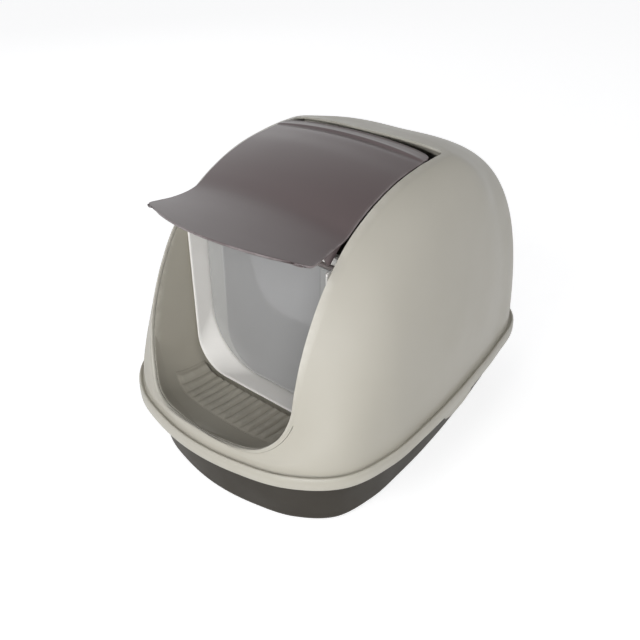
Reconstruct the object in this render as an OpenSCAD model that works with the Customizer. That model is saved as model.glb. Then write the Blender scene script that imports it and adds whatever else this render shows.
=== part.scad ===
// Hooded litter box: tray, domed hood, ribbed porch, swing door and flip-up visor.
// Millimetres, +Z up, front towards -Y, origin under the middle of the tray's resting face.

/* [Overall] */
// Widest width, across the hood flange
body_w = 397; // [380:1:415]
// Length, front to back over the hood flange
body_l = 566; // [540:1:590]
// Height of the hood roof above the floor
body_h = 392; // [380:1:404]

/* [Tray] */
// Wall thickness of the tray
tray_wall = 2.6; // [2:0.1:3.2]
// How far the tray's base edge sits inside the flange outline
base_in = 32; // [28:1:36]
// Rounding of the tray's base edge
base_round = 11; // [8:1:14]
// How far the outside of the tray's rim bead sits inside the flange outline
bead_in = 10.8; // [10.6:0.1:12]

/* [Hood] */
// Wall thickness of the hood
hood_wall = 3; // [2.4:0.1:3.4]
// Height of the flange's lower edge above the floor
flange_z = 80; // [76:1:84]
// Height of the flange band
flange_h = 17; // [15:1:19]
// How far the hood wall stands inside the flange
flange_step = 7.6; // [6.6:0.2:8]
// Width of the seat ring that rests on the tray, from the flange's inner face
seat_w = 13; // [11:0.5:14]
// Half width of the opening at its widest
open_hw = 118; // [114:1:122]
// Depth of the flat bevel that runs round the opening
bevel_drop = 1.4; // [0.6:0.1:2]

/* [Porch] */
// Thickness of the porch liner
liner_wall = 2.4; // [2:0.1:2.8]
// Y of the liner's back edge, where the door frame sits
door_y = -124; // [-128:1:-120]
// Height of the porch floor at the door
porch_z = 91; // [89:1:93]
// Number of ribs on the step tread
rib_n = 16; // [12:1:16]
// Distance between ribs
rib_pitch = 12.8; // [12:0.1:13]
// Rib radius
rib_r = 2.6; // [2:0.1:3]

/* [Door] */
// Thickness of the door frame's side walls
frame_t = 4; // [3.5:0.1:8]
// Thickness of the door frame's sill
sill_t = 3; // [2.5:0.1:5]
// Depth of the door frame's head bar
head_t = 10; // [8:0.5:16]
// Depth of the frame's sleeve, front to back
frame_d = 34; // [28:1:36]
// Thickness of the flap panel
flap_t = 2.2; // [1.8:0.1:2.6]
// Diameter of the flap's pivot pins
door_pin_d = 4; // [3.6:0.1:4.2]

/* [Visor] */
// Thickness of the visor
visor_t = 3; // [2.4:0.1:3.2]
// Side gap between the visor and the hood
visor_gap = 1.3; // [1:0.1:1.6]
// How far the middle of the visor rises over its edges
visor_crown = 9; // [6:0.5:10]
// Diameter of the visor's hinge pins
visor_pin_d = 5; // [4.4:0.1:5.4]

/* [Latches] */
// Length of each side latch
latch_l = 88; // [70:1:90]
// Diameter of the latch hinge pins
latch_pin_d = 3; // [2.6:0.1:3.2]
// Radial running clearance at every pin
run_gap = 0.06; // [0.03:0.01:0.1]

/* [Output] */
// Which node to draw

/* [Hidden] */

sx = body_w / 397;
sy = body_l / 566;
sz = (body_h - flange_z) / 312;
gap = 0.2;
eps = 0.01;

// Outline radius every 15 degrees from the front, for a 397 by 566 flange
plan_tab = [247, 248.5, 254, 250.5, 226, 204, 195, 197.5, 213, 247, 301, 319, 319];

// Everything is modelled about the bend of the outline, then moved to sit over the origin
y_mid = (plan_tab[12] - plan_tab[0]) / 2 * sy;
module centred() { translate([0, -y_mid, 0]) children(); }

// Opening edge of the right half, from the lip's middle round to the roof's middle
open_tab = [
    [0, -236, 110], [33, -235.5, 110], [62, -231.5, 110.6], [88, -223, 117], [107, -211, 135],
    [116.6, -202, 163], [118, -196, 195], [118, -186, 228], [118, -170, 264], [118, -147, 301],
    [117.6, -113, 337], [116.8, -72, 361.5], [115.6, -26, 377.6], [114, 22, 385], [113.2, 57, 387],
    [109.5, 78, 387.2], [82, 81, 389.8], [42, 80.5, 391.7], [0, 80, 392]];
open_n = 18;

// Bearing angle on the outline that each opening point is joined to
bear_tab = [0, 9, 18, 27, 35, 42, 47, 51, 55, 60, 68, 78, 90, 104, 117, 128, 140, 159, 180];

// Roof slope, roof reach and wall stiffness every 30 degrees
slope_tab = [2.2, 1.7, 0.95, 0.5, 0.2, 0.12, 0.15];
reach_tab = [0.3, 0.35, 0.55, 0.65, 0.72, 0.7, 0.66];

function unit(v) = v / max(norm(v), 0.000001);
function pick(t, i) =
    let (n = len(t) - 1)
    i < 0 ? 2 * t[0] - t[-i] : i > n ? 2 * t[n] - t[2 * n - i] : t[i];
function blend(a, b, c, d, f) =
    b + 0.5 * f * (c - a + f * (2 * a - 5 * b + 4 * c - d + f * (3 * (b - c) + d - a)));
function spline(t, u) =
    let (i = min(len(t) - 2, max(0, floor(u))))
    blend(pick(t, i - 1), pick(t, i), pick(t, i + 1), pick(t, i + 2), u - i);
function even(t, i) =
    let (n = len(t) - 1) i < 0 ? t[-i] : i > n ? t[2 * n - i] : t[i];
function even_spline(t, u) =
    let (i = min(len(t) - 2, max(0, floor(u))))
    blend(even(t, i - 1), even(t, i), even(t, i + 1), even(t, i + 2), u - i);

// Flange outline at a bearing, and the same moved inwards
function rim(a) =
    let (r = even_spline(plan_tab, abs(a) / 15))
    [sign(a) * r * sin(abs(a)) * sx, -r * cos(a) * sy];
function rim_in(a, d) =
    let (v = rim(a + 0.5) - rim(a - 0.5), n = [v[1], -v[0]] / norm(v))
    (abs(a) < 0.01 || abs(a) > 179.99)
        ? [0, rim(a)[1] + (abs(a) < 90 ? d : -d)] : rim(a) - n * d;

// Opening edge at loop position k, from -18 to 18
function mirror_x(p) = [-p[0], p[1], p[2]];
function open_at(i) =
    i < 0 ? mirror_x(open_at(-i)) : i > open_n ? mirror_x(open_tab[2 * open_n - i]) : open_tab[i];
function open_raw(k) =
    let (i = min(open_n - 1, floor(k)))
    blend(open_at(i - 1), open_at(i), open_at(i + 1), open_at(i + 2), k - i);
function open_pt(k) =
    let (p = open_raw(abs(k)))
    [(k < 0 ? -1 : 1) * p[0] * open_hw / 118, p[1] * sy, flange_z + (p[2] - 80) * sz];
function bearing(k) = (k < 0 ? -1 : 1) * spline(bear_tab, abs(k));

// Wall frame at loop position k: foot, edge, outward direction, roof slope, roof normal
function foot(k, d) =
    let (p = rim_in(bearing(k), flange_step + d)) [p[0], p[1], flange_z + flange_h + 0.6];
function outward(k) = let (d = foot(k, 0) - open_pt(k)) unit([d[0], d[1], 0]);
function roof_dir(k) =
    let (s = even_spline(slope_tab, abs(bearing(k)) / 30)) outward(k) + [0, 0, -s];
function edge_dir(k) =
    abs(k) < 0.01 ? [1, 0, 0] : abs(k) > open_n - 0.01 ? [-1, 0, 0]
    : unit(open_pt(k + 0.02) - open_pt(k - 0.02));
function edge_nrm(k) = unit(cross(roof_dir(k), edge_dir(k)));
function edge_low(k, d) =
    let (n = edge_nrm(k), c = unit([0, n[1], n[2]])) open_pt(k) - c * (bevel_drop + d) / (n * c);
function bez(a, b, c, d, s) =
    pow(1 - s, 3) * a + 3 * pow(1 - s, 2) * s * b + 3 * (1 - s) * s * s * c + s * s * s * d;
function wall_pt(k, d, s) =
    let (f = foot(k, d), e = open_pt(k) - edge_nrm(k) * d, o = outward(k), h = e[2] - f[2],
         l = norm([f[0] - e[0], f[1] - e[1]]), r = even_spline(reach_tab, abs(bearing(k)) / 30))
    bez(f, f + [0, 0, stiff * h] - o * 0.03 * l, e + roof_dir(k) * l * r, e, s);
bevel_s = 0.93;
stiff = 0.67;
wall_steps = [0, 0.08, 0.17, 0.27, 0.37, 0.47, 0.57, 0.66, 0.75, 0.84, bevel_s];

// Cross-section of the hood at loop position k, a closed loop of points
function lift(p, z) = [p[0], p[1], z];
function hood_loop(k) =
    let (a = bearing(k), zt = flange_z + flange_h)
    concat(
        [lift(rim_in(a, 0.8), flange_z), lift(rim_in(a, 0), flange_z + 2),
         lift(rim_in(a, 0), zt - 5), lift(rim_in(a, 0.9), zt - 1.6),
         lift(rim_in(a, 3), zt), lift(rim_in(a, flange_step - 0.8), zt)],
        [for (s = wall_steps) wall_pt(k, 0, s)],
        [edge_low(k, 0), edge_low(k, hood_wall)],
        [for (i = [len(wall_steps) - 1:-1:1]) wall_pt(k, hood_wall, wall_steps[i])],
        [lift(rim_in(a, flange_step + hood_wall), zt + 1.2), lift(rim_in(a, 3 + seat_w), zt + 0.6),
         lift(rim_in(a, 3 + seat_w), zt - 3), lift(rim_in(a, 3), zt - 3),
         lift(rim_in(a, 3), flange_z)]);

// Triangles over a closed-loop grid: nu loops of nv points, joined at the ends or capped
function quad(a, b, c, d) = [[a, b, c], [a, c, d]];
function tube_faces(nu, nv, round_trip) =
    [for (i = [0:(round_trip ? nu - 1 : nu - 2)]) for (j = [0:nv - 1])
        for (t = quad(i * nv + j, ((i + 1) % nu) * nv + j,
                      ((i + 1) % nu) * nv + (j + 1) % nv, i * nv + (j + 1) % nv)) t];
function cap_faces(base, nv, flip) =
    [for (j = [0:nv / 2 - 2])
        for (t = quad(base + j, base + j + 1, base + nv - 2 - j, base + nv - 1 - j))
            flip ? [t[2], t[1], t[0]] : t];
function turned(f, on) = on ? [for (t = f) [t[2], t[1], t[0]]] : f;
module skin(loops, round_trip = false, turn = false) {
    nu = len(loops);
    nv = len(loops[0]);
    polyhedron(points = [for (l = loops) for (p = l) p],
               faces = turned(concat(tube_faces(nu, nv, round_trip),
                                     round_trip ? [] : cap_faces(0, nv, false),
                                     round_trip ? [] : cap_faces((nu - 1) * nv, nv, true)), turn),
               convexity = 8);
}

// Stack of rings closed by a point at each end
module lathe_like(rings, first, last) {
    nr = len(rings);
    n = len(rings[0]);
    e = nr * n;
    polyhedron(points = concat([for (r = rings) for (p = r) p], [first, last]),
               faces = concat(
                   [for (i = [0:nr - 2]) for (j = [0:n - 1])
                       for (t = quad(i * n + j, (i + 1) * n + j,
                                     (i + 1) * n + (j + 1) % n, i * n + (j + 1) % n)) t],
                   [for (j = [0:n - 1]) [e, j, (j + 1) % n]],
                   [for (j = [0:n - 1]) [e + 1, (nr - 1) * n + (j + 1) % n, (nr - 1) * n + j]]),
               convexity = 6);
}

// Tray: a dark open pan with a rolled rim bead
tray_n = 80;
seat_z = flange_z + flange_h - 3;
bead_top = seat_z - 0.3;
tray_mid = [0, 36 * sy];
function tray_ring(d, z) =
    [for (i = [0:tray_n - 1]) let (a = -180 + 360 * (i + 0.5) / tray_n) lift(rim_in(a, d), z)];
function tray_core(d, f, z) =
    [for (i = [0:tray_n - 1]) let (a = -180 + 360 * (i + 0.5) / tray_n)
        lift(tray_mid + (rim_in(a, d) - tray_mid) * f, z)];
module tray() {
    wall_in = bead_in + 3.2;
    b = base_in;
    r = base_round;
    h = bead_top - 7;
    lean = (b - wall_in) / h;
    color("DimGray") centred() lathe_like([
        tray_core(b + r, 0.5, 0), tray_ring(b + r, 0), tray_ring(b + r * 0.45, r * 0.14),
        tray_ring(b + r * 0.13 - r * 0.35 * lean, r * 0.46), tray_ring(b - r * lean, r),
        tray_ring(wall_in, h), tray_ring(bead_in, h + 0.6), tray_ring(bead_in, bead_top - 1),
        tray_ring(bead_in + 1, bead_top), tray_ring(wall_in + tray_wall, bead_top),
        tray_ring(wall_in + tray_wall + 0.4, h), tray_ring(b - r * lean + tray_wall, r + 1),
        tray_ring(b + r * 0.45 + tray_wall, r * 0.14 + tray_wall + 0.6),
        tray_ring(b + r + tray_wall, tray_wall),
        tray_core(b + r, 0.5, tray_wall)],
        [tray_mid[0], tray_mid[1], 0], [tray_mid[0], tray_mid[1], tray_wall]);
}

// Hood: one thin dome from the flange to the edge of the opening
hood_n = 45;
module hood_shell() {
    color("Tan") centred()
        skin([for (i = [-hood_n:hood_n - 1]) hood_loop(i * open_n / hood_n)], true, true);
}

// Inner well behind the visor; its end walls carry the visor pins
visor_ax = [46 * sy, flange_z + 296 * sz];
well_hw = (112.6 * open_hw / 118) + 3.6;
well_t = 2.4;
function under_lip(k) =
    let (a = edge_low(k, hood_wall + gap), b = wall_pt(k, hood_wall + gap, bevel_s),
         p = a + (b - a) * (well_hw - a[0]) / (b[0] - a[0])) [p[1], p[2]];
well_rim = [for (k = [14.3, 13.9, 13.5, 13.2, 12.95]) under_lip(k)];
well_y0 = well_rim[4][0];
well_y1 = 84 * sy;
well_z0 = visor_ax[1] - 28;
module well_side() {
    polygon(concat([[well_y0, well_z0], [well_y1, well_z0], [well_y1, visor_ax[1] - 4]], well_rim));
}
module along_x(x0, x1) {
    translate([x0, 0, 0]) rotate([90, 0, 90]) linear_extrude(x1 - x0) children();
}
module grip_well() {
    color("Sienna") centred() difference() {
        union() {
            for (s = [-1, 1]) along_x(s > 0 ? well_hw - 4 : -well_hw, s > 0 ? well_hw : 4 - well_hw)
                well_side();
            along_x(eps - well_hw, well_hw - eps) polygon([
                [well_y0, well_z0], [well_y1, well_z0], [well_y1, visor_ax[1] - 4.4],
                [well_y1 - well_t, visor_ax[1] - 4.4], [well_y1 - well_t, well_z0 + well_t],
                [well_y0 + well_t, well_z0 + well_t], [well_y0 + well_t, visor_ax[1] - 9],
                [well_y0, visor_ax[1] - 9]]);
        }
        translate([-well_hw - 1, visor_ax[0], visor_ax[1]]) rotate([0, 90, 0])
            cylinder(h = 2 * well_hw + 2, r = visor_pin_d / 2 + run_gap, $fn = 48);
    }
}

// Grip bar: the thick roll under the roof's front edge that the hand holds
bar_r = 4.4;
bar_k = 2.75;
bar_in = hood_wall + bar_r + gap;
function bar_loop(k) =
    let (p = 0.8 * wall_pt(k, bar_in, bevel_s) + 0.2 * edge_low(k, bar_in))
    [for (a = [0:30:330]) p + [0, bar_r * sin(a), bar_r * cos(a)]];
module grip_bar() {
    color("BurlyWood") centred() skin([for (i = [-12:12])
        bar_loop(i == 0 ? open_n : (i < 0 ? -1 : 1) * (open_n - bar_k * abs(i) / 12))], false, true);
}

// Porch liner: the inner walls and floor between the opening and the door
liner_k = 9.6;
liner_n = 30;
liner_v = [0, 0.12, 0.24, 0.34, 0.4, 0.5, 0.62, 0.76, 0.88, 0.92, 1];
back_hw = 113.2 * open_hw / 118;
back_r = 42;
function lip_pt(k, d) = edge_low(k, hood_wall + gap + d);
function back_pt(k, d) =
    let (f = abs(k), g = (k < 0 ? -1 : 1), hw = back_hw + d, r = back_r + d, z0 = porch_z - d,
         flat = 2.2, turn = 5.2)
    f < flat ? [g * (hw - r) * f / flat, door_y - gap, z0]
    : f < turn
        ? let (a = 90 * (f - flat) / (turn - flat))
          [g * (hw - r + r * sin(a)), door_y - gap, z0 + r - r * cos(a)]
        : let (u = (f - turn) / (liner_k - turn), top = lip_pt(liner_k, 0)[2] - 4)
          [g * hw, door_y - gap, (z0 + r) + (top - z0 - r) * u];
function liner_pt(k, d, q) =
    let (a = lip_pt(k, d), b = back_pt(k, d), w = pow(1 - q, 3), v = pow(1 - q, 1.5))
    [b[0] + (a[0] - b[0]) * v, a[1] + (b[1] - a[1]) * q, b[2] + (a[2] - b[2]) * w];
function liner_loop(k) = concat(
    [for (q = liner_v) liner_pt(k, 0, q)],
    [for (i = [len(liner_v) - 1:-1:0]) liner_pt(k, liner_wall, liner_v[i])]);
module porch_liner() {
    color("DarkKhaki") centred()
        skin([for (i = [-liner_n:liner_n]) liner_loop(i * liner_k / liner_n)], false, true);
}

// Step tread: thin ribbed plate that follows the porch floor
tread_t = 1.4;
tread_q = [0.34, 0.4, 0.5, 0.62, 0.76, 0.88, 0.92];
rib_fade = [0, 1, 1, 1, 1, 1, 0];
rib_prof = [0, 0, 0.8, 1, 0.8, 0];
tread_m = rib_n * 6;
function floor_k(x) =
    let (f = abs(x), c = back_hw - back_r, g = x < 0 ? -1 : 1)
    f < c ? x * 2.2 / c : g * (2.2 + asin(min(0.999, (f - c) / back_r)) / 30);
function tread_x(j) = (j / 6 - rib_n / 2) * rib_pitch;
function tread_top(j, i) = gap + tread_t + (j < tread_m ? rib_r * rib_prof[j % 6] * rib_fade[i] : 0);
module step_tread() {
    color("Peru") centred() skin([for (i = [0:len(tread_q) - 1]) concat(
        [for (j = [0:tread_m]) liner_pt(floor_k(tread_x(j)), -tread_top(j, i), tread_q[i])],
        [for (j = [tread_m:-1:0]) liner_pt(floor_k(tread_x(j)), -gap - 0.12, tread_q[i])])]);
}

// Rounded door outline in the XZ plane
function arc_pts(cx, cz, r, a0) =
    [for (i = [0:9]) [cx + r * cos(a0 + 10 * i), cz + r * sin(a0 + 10 * i)]];
module door_shape(hw, z0, z1, r0, r1) {
    polygon(concat(arc_pts(hw - r1, z1 - r1, r1, 0), arc_pts(r1 - hw, z1 - r1, r1, 90),
                   arc_pts(r0 - hw, z0 + r0, r0, 180), arc_pts(hw - r0, z0 + r0, r0, 270)));
}
module along_y(y0, y1) {
    translate([0, y1, 0]) rotate([90, 0, 0]) linear_extrude(y1 - y0) children();
}
frame_hw = back_hw - 1.2;
frame_z0 = porch_z + 5.5;
frame_z1 = flange_z + 236 * sz;
door_hw = frame_hw - frame_t;
door_z0 = frame_z0 + sill_t;
door_z1 = frame_z1 - head_t;
frame_y0 = door_y - 7.4;
frame_y1 = frame_y0 + frame_d;
hinge_y = frame_y1 - 6;
hinge_z = door_z1 - 6;
boss_x = frame_hw + 5;
back_round = 78;
module door_frame() {
    color("White") centred() difference() {
        union() {
            along_y(frame_y0, frame_y1) door_shape(frame_hw, frame_z0, frame_z1, 48, 18);
            along_y(door_y, door_y + 2.4) door_shape(back_hw + 2.8, porch_z - 2.8, frame_z1 - 3, 44, 18);
            translate([-boss_x, hinge_y, hinge_z]) rotate([0, 90, 0])
                cylinder(h = 2 * boss_x, r = door_pin_d / 2 + 3.6, $fn = 40);
        }
        along_y(frame_y0 - 1, frame_y1 + 1) door_shape(door_hw, door_z0, door_z1, back_round, 3);
        along_y(frame_y0 - 1, hinge_y - 14) door_shape(door_hw, door_z0, frame_z1 + 8, 44, 3);
        along_y(frame_y0 - 1, hinge_y - 9)
            door_shape(door_hw, door_z0, frame_z1 + 8, (44 + back_round) / 2, 3);
        translate([-boss_x - 1, hinge_y, hinge_z]) rotate([0, 90, 0])
            cylinder(h = 2 * boss_x + 2, r = door_pin_d / 2 + run_gap, $fn = 40);
    }
}

// Swing flap: a thin clear panel inside a thicker border
flap_hw = door_hw - 1.6;
flap_z0 = door_z0 + 1.6;
rod_r = door_pin_d / 2 + 1.2;
module door_flap() {
    color("LightSteelBlue") centred() {
        along_y(hinge_y - flap_t / 2, hinge_y + flap_t / 2)
            door_shape(flap_hw, flap_z0, hinge_z - rod_r - gap, back_round - 1.6, 1);
        along_y(hinge_y - flap_t / 2 - 0.8, hinge_y + flap_t / 2 + 0.8) difference() {
            door_shape(flap_hw - 0.4, flap_z0 + 0.4, hinge_z - rod_r - gap - 0.4, back_round - 2, 1);
            door_shape(flap_hw - 27, flap_z0 + 3, hinge_z + 20, back_round - 26, 1);
        }
    }
}
module door_pin_rod() {
    color("SlateGray") centred() translate([0, hinge_y, hinge_z]) rotate([0, 90, 0]) {
        cylinder(h = 2 * flap_hw, r = rod_r, center = true, $fn = 40);
        cylinder(h = 2 * boss_x - 1, r = door_pin_d / 2, center = true, $fn = 40);
    }
}

// Visor rows: y and z at the side, half width, rise and forward bow of the middle, lip height
visor_rows = [
    [48, 386.4, 111.3, 0.3, -18, 0.6], [46.5, 387, 111.5, 0.3, -18, 1.6],
    [44, 386.8, 111.7, 0.32, -17, 0.8], [39.5, 386.6, 112, 0.5, -10, 1],
    [35.5, 386.3, 112.3, 0.7, -5, 2.4], [33, 385.4, 112.5, 0.8, -3, -0.4],
    [25, 384.7, 112.6, 1, 0, 0],
    [8, 382.8, 113.2, 1, 0, 0], [-14, 379.8, 114, 1, 0, 0], [-38, 373.8, 114.7, 1, 0, 0],
    [-62, 365.6, 115.3, 1, 0, 0], [-84, 355.2, 115.6, 1, 0, 0], [-101, 345.2, 116, 1, 0.5, 0],
    [-112, 341.2, 116.3, 1, 1.5, 0], [-126, 339.2, 116.8, 1, 4, 0],
    [-142, 338.2, 119, 1, 8, 0], [-157, 338.2, 123.4, 0.95, 15, 0],
    [-168, 338.8, 126.6, 0.9, 21, 0], [-174, 339.4, 125.4, 0.86, 26, 0],
    [-177.4, 339.8, 119, 0.84, 28, 0]];
function visor_row(i, s, drop) =
    let (r = visor_rows[i], m = 1 - s * s, hw = r[2] * open_hw / 118 - (visor_gap - 1.3))
    [s * hw, (r[0] - r[4] * (r[4] < 0 ? pow(m, 0.45) : m)) * sy,
     flange_z + (r[1] - 80) * sz + visor_crown * r[3] * m + r[5] * pow(m, 0.6) - drop];
function visor_mid(i, s) = visor_row(max(0, min(len(visor_rows) - 1, i)), s, 0);
function visor_nrm(i, s) =
    let (t = visor_mid(i + 1, s) - visor_mid(i - 1, s)) unit([0, t[2], -t[1]]);
visor_s = [for (i = [-10:10]) let (u = i / 10) u * (1.12 - 0.12 * u * u)];
function visor_loop(s) = concat(
    [for (i = [0:len(visor_rows) - 1]) visor_mid(i, s)],
    [for (i = [len(visor_rows) - 1:-1:0]) visor_mid(i, s) - visor_nrm(i, s) * visor_t]);
cheek_x = 112.8 * open_hw / 118;
cheek_top = [for (i = [15:-1:12]) let (p = visor_row(i, 0.97, visor_t / 2)) [p[1], p[2]]];
module visor() {
    color("RosyBrown") centred() {
        skin([for (s = visor_s) visor_loop(s)]);
        for (m = [-1, 1]) along_x(m > 0 ? cheek_x - 2.6 : -cheek_x, m > 0 ? cheek_x : 2.6 - cheek_x)
            polygon(concat([[-129 * sy, flange_z + 238 * sz], [-132 * sy, flange_z + 240 * sz]],
                           cheek_top));
    }
}

// Hinge ears under the visor's back corners, and the pins they carry
ear_x1 = well_hw - 4.4;
ear_x0 = ear_x1 - 5;
ear_top = visor_ax[1] + 5.9;
module visor_hinge() {
    color("Brown") centred() difference() {
        for (s = [-1, 1]) along_x(s > 0 ? ear_x0 : -ear_x1, s > 0 ? ear_x1 : -ear_x0) {
            translate(visor_ax) circle(r = 5, $fn = 40);
            polygon([[visor_ax[0] - 20, visor_ax[1] + 4], [visor_ax[0], visor_ax[1] - 4.9],
                     [visor_ax[0] + 4.4, visor_ax[1]], [visor_ax[0] - 2, ear_top],
                     [visor_ax[0] - 18, ear_top - 0.2]]);
        }
        translate([-well_hw - 1, visor_ax[0], visor_ax[1]]) rotate([0, 90, 0])
            cylinder(h = 2 * well_hw + 2, r = visor_pin_d / 2 + 0.05, $fn = 48);
    }
}
module visor_pins() {
    color("Gray") centred() for (s = [-1, 1])
        translate([s * (ear_x0 + well_hw) / 2, visor_ax[0], visor_ax[1]]) rotate([0, 90, 0])
            cylinder(h = well_hw - ear_x0 - 0.4, r = visor_pin_d / 2, center = true, $fn = 48);
}

// Side latches hang from brackets inside the flange
latch_a = 105;
latch_in = 6.8;
latch_z = flange_z - 2.6;
latch_c = rim_in(latch_a, latch_in);
latch_dir = rim(latch_a + 4) - rim(latch_a - 4);
latch_yaw = atan2(latch_dir[0], latch_dir[1]);
module at_latch(s) {
    translate([s * latch_c[0], latch_c[1], latch_z]) rotate([0, 0, -s * latch_yaw]) children();
}
lug_t = 4;
module latch_brackets() {
    color("Goldenrod") centred() for (s = [-1, 1]) at_latch(s) difference() {
        for (m = [-1, 1]) translate([-2.9, m * (latch_l / 2 - lug_t / 2) - lug_t / 2, -3.2])
            cube([5.8, lug_t, seat_z - gap - latch_z + 3.2]);
        rotate([90, 0, 0])
            cylinder(h = latch_l + 2, r = latch_pin_d / 2 + run_gap, center = true, $fn = 32);
    }
}
module latch_tongue(s) {
    span = latch_l - 2 * lug_t - 0.8;
    at_latch(s) difference() {
        union() {
            rotate([90, 0, 0]) cylinder(h = span, r = 2.9, center = true, $fn = 32);
            translate([-1.4, 0, 0]) rotate([90, 0, 90]) linear_extrude(2.8)
                polygon(concat([[-span / 2, 0], [-span / 2, -4]],
                               [for (i = [0:8]) let (u = -1 + i / 4)
                                   [u * (span / 2 - 3), -16 + 6 * pow(abs(u), 3)]],
                               [[span / 2, -4], [span / 2, 0]]));
        }
        rotate([90, 0, 0])
            cylinder(h = latch_l + 2, r = latch_pin_d / 2 + run_gap, center = true, $fn = 32);
    }
}
module latch_left() { color("Khaki") centred() latch_tongue(-1); }
module latch_right() { color("Khaki") centred() latch_tongue(1); }
module latch_pins() {
    color("Silver") centred() for (s = [-1, 1]) at_latch(s) rotate([90, 0, 0])
        cylinder(h = latch_l - 0.4, r = latch_pin_d / 2, center = true, $fn = 32);
}

tray();
hood_shell();
grip_well();
grip_bar();
porch_liner();
step_tread();
door_frame();
door_flap();
door_pin_rod();
visor();
visor_hinge();
visor_pins();
latch_brackets();
latch_left();
latch_right();
latch_pins();
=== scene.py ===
"""Hooded litter box: smooth moulded shells, swing flap, visor and studio."""

import logging
import math
from dataclasses import dataclass
from enum import Enum

import bmesh
import bpy
import numpy as np
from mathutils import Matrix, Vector


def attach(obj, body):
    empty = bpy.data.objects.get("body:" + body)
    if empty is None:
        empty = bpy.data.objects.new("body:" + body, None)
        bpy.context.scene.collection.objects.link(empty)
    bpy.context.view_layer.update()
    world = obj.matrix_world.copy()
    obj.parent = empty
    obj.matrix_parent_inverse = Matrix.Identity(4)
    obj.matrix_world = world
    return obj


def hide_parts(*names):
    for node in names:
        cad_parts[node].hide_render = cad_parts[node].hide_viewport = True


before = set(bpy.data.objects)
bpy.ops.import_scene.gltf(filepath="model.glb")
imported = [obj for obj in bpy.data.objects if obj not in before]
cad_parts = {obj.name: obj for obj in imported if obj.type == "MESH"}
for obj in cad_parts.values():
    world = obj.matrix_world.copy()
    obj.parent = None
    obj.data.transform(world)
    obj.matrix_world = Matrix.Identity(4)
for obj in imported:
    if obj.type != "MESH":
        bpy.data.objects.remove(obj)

LOG = logging.getLogger("litter_box")
MM = 0.001
# Surfaces are worked out about the bend of the outline, and the box's middle is behind it
ORIGIN_Y = 36.0
Array = np.ndarray


class Ends(Enum):
    """How a table carries on past its two ends."""

    EVEN = "even"
    ODD = "odd"
    MIRROR_X = "mirror_x"


# Numpy tools


def unit(v: Array) -> Array:
    """Divides each vector by its length.

    Args:
        v: Vectors along the last axis.

    Returns:
        Vectors of length one.
    """
    return v / np.maximum(np.linalg.norm(v, axis=-1, keepdims=True), 1e-9)


def table_at(table: Array, index: Array, ends: Ends) -> Array:
    """Looks rows up in a table that carries on past its ends.

    Args:
        table: One row per whole index.
        index: Whole indices, which may lie one past either end.
        ends: EVEN repeats the rows backwards, ODD turns them about the end row, and
            MIRROR_X repeats them backwards with x negated.

    Returns:
        The rows.
    """
    last = len(table) - 1
    folded = np.where(index < 0, -index, np.where(index > last, 2 * last - index, index))
    rows = table[folded]
    past = ((index < 0) | (index > last))[..., None]
    if ends is Ends.ODD:
        anchor = table[np.where(index < 0, 0, last)]
        rows = np.where(past, 2 * anchor - rows, rows)
    if ends is Ends.MIRROR_X:
        rows = np.where(past, rows * np.array([-1.0, 1.0, 1.0]), rows)
    return rows


def spline(table: Array, u: Array, ends: Ends) -> Array:
    """Reads a table between its rows with the Catmull-Rom cubic.

    Args:
        table: Rows, one per whole value of u.
        u: Places to read, from 0 to the last row.
        ends: How the table carries on past its ends.

    Returns:
        One row for each u.
    """
    i = np.clip(np.floor(u).astype(int), 0, len(table) - 2)
    f = (u - i)[..., None]
    a, b, c, d = (table_at(table, i + step, ends) for step in (-1, 0, 1, 2))
    return b + 0.5 * f * (c - a + f * (2 * a - 5 * b + 4 * c - d + f * (3 * (b - c) + d - a)))


def ease(x: Array) -> Array:
    """Smooth step: 3 x squared minus 2 x cubed, with x held within 0 and 1."""
    x = np.clip(x, 0.0, 1.0)
    return x * x * (3 - 2 * x)


def half_round(distance: Array, radius: float) -> Array:
    """Height of a quarter circle at a distance from its foot, as a share of the radius."""
    x = np.clip(distance / radius, 0.0, 1.0)
    return np.sqrt(1 - (1 - x) ** 2)


def fillet(before: Array, corner: Array, after: Array, radius: float, steps: int) -> Array:
    """Rounds a corner of each section with a quadratic Bezier curve.

    Args:
        before: Points that the line comes from, one per section.
        corner: The corners.
        after: Points that the line goes on to.
        radius: Distance from the corner to where the rounding starts and ends.
        steps: Number of points.

    Returns:
        Array of section by step by xyz.
    """
    a = corner + unit(before - corner) * radius
    b = corner + unit(after - corner) * radius
    t = np.linspace(0, 1, steps)[None, :, None]
    return (1 - t) ** 2 * a[:, None] + 2 * t * (1 - t) * corner[:, None] + t * t * b[:, None]


def spread_to_ends(count: int, share: float, extra: int) -> Array:
    """Values from 0 to 1, with more of them within a share of each end.

    Args:
        count: Number of even steps between the two end zones.
        share: Width of each end zone.
        extra: Number of steps inside each end zone.

    Returns:
        Rising values that start at 0 and end at 1.
    """
    zone = share * (1 - np.cos(np.linspace(0, math.pi / 2, extra + 1)))
    middle = np.linspace(share, 1 - share, count + 1)[1:-1]
    return np.concatenate([zone, middle, (1 - zone)[::-1]])


# Mesh tools


def quads_of(rows: int, columns: int, wrap_rows: bool, wrap_columns: bool) -> Array:
    """Four corner numbers for each cell of a grid of points.

    Args:
        rows: Number of rows of points.
        columns: Number of points in a row.
        wrap_rows: Whether the last row joins the first.
        wrap_columns: Whether the last column joins the first.

    Returns:
        Whole numbers, cells by 4.
    """
    i = np.arange(rows if wrap_rows else rows - 1)[:, None]
    j = np.arange(columns if wrap_columns else columns - 1)[None, :]
    i2, j2 = (i + 1) % rows, (j + 1) % columns
    return np.stack([i * columns + j, i2 * columns + j, i2 * columns + j2, i * columns + j2],
                    axis=-1).reshape(-1, 4)


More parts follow.
